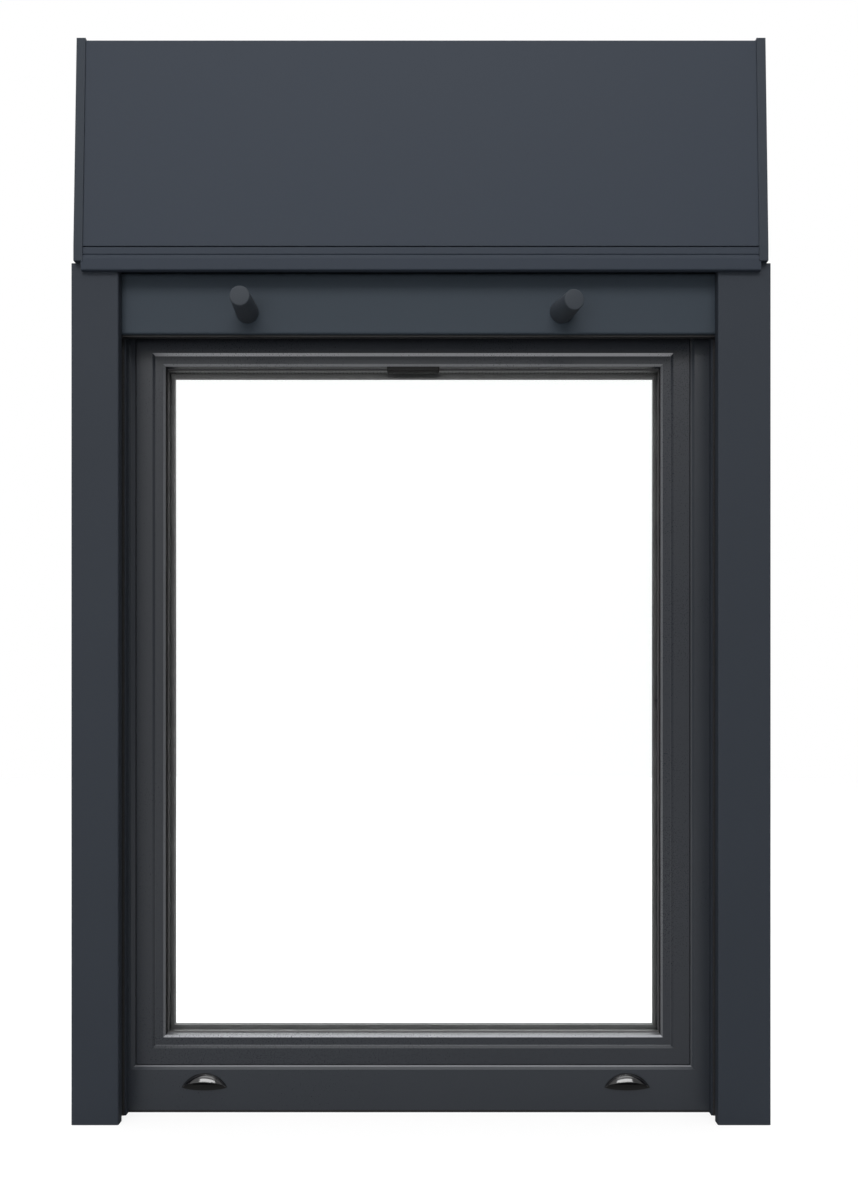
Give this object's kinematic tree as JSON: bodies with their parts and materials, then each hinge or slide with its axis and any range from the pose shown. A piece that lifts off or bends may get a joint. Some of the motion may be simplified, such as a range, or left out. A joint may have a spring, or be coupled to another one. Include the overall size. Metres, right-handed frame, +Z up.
{
  "type": "aluminium window with roller shutter box",
  "caption": "Aluminium window with a glazed sash, shutter guides at both sides and a roller shutter box on top, its curtain rolled up.",
  "frame": {"origin": "middle of the sill's underside, at half the frame's depth", "axes": "+X to the right seen from outdoors, +Y towards the room, +Z up"},
  "size_m": [0.7, 0.235, 1.0895],
  "materials": {
    "frame_paint": "satin powder coat",
    "sash_paint": "satin powder coat",
    "guide_paint": "satin powder coat",
    "box_paint": "satin powder coat",
    "curtain_paint": "satin paint",
    "black_gloss": "gloss",
    "gasket_rubber": "matt",
    "peg_rubber": "matt",
    "brush_pile": "pile",
    "glass": "clear",
    "spacer": "matt",
    "axle_steel": "galvanised",
    "bearing_plastic": "matt",
    "handle_paint": "satin powder coat"
  },
  "bodies": {
    "root": {"frame_sill": "frame_paint", "frame_head": "frame_paint", "frame_left_jamb": "frame_paint", "frame_right_jamb": "frame_paint", "sash_bottom_rail": "sash_paint", "sash_top_rail": "sash_paint", "sash_left_stile": "sash_paint", "sash_right_stile": "sash_paint", "glazing_bead_bottom": "sash_paint", "glazing_bead_top": "sash_paint", "glazing_bead_left": "sash_paint", "glazing_bead_right": "sash_paint", "left_guide": "guide_paint", "right_guide": "guide_paint", "box_front_panel": "box_paint", "box_front_lip": "box_paint", "box_top_panel": "box_paint", "box_rear_panel": "box_paint", "box_underside_panel": "box_paint", "box_base_rail": "box_paint", "box_left_end_cap": "box_paint", "box_right_end_cap": "box_paint", "shutter_bottom_bar": "curtain_paint", "shutter_curtain": "curtain_paint", "left_drain_cap": "black_gloss", "right_drain_cap": "black_gloss", "sash_vent_cap": "black_gloss", "sill_seal_strip": "gasket_rubber", "sash_rebate_seal": "gasket_rubber", "outer_glazing_gasket": "gasket_rubber", "inner_glazing_gasket": "gasket_rubber", "bottom_bar_seal": "gasket_rubber", "left_stop_peg": "peg_rubber", "right_stop_peg": "peg_rubber", "left_guide_brush": "brush_pile", "right_guide_brush": "brush_pile", "glass_outer_pane": "glass", "glass_inner_pane": "glass", "glass_spacer": "spacer", "shutter_axle": "axle_steel", "left_axle_bearing": "bearing_plastic", "right_axle_bearing": "bearing_plastic", "handle_rosette": "handle_paint", "handle_lever": "handle_paint", "upper_hinge": "handle_paint", "lower_hinge": "handle_paint"}
  },
  "joints": []
}
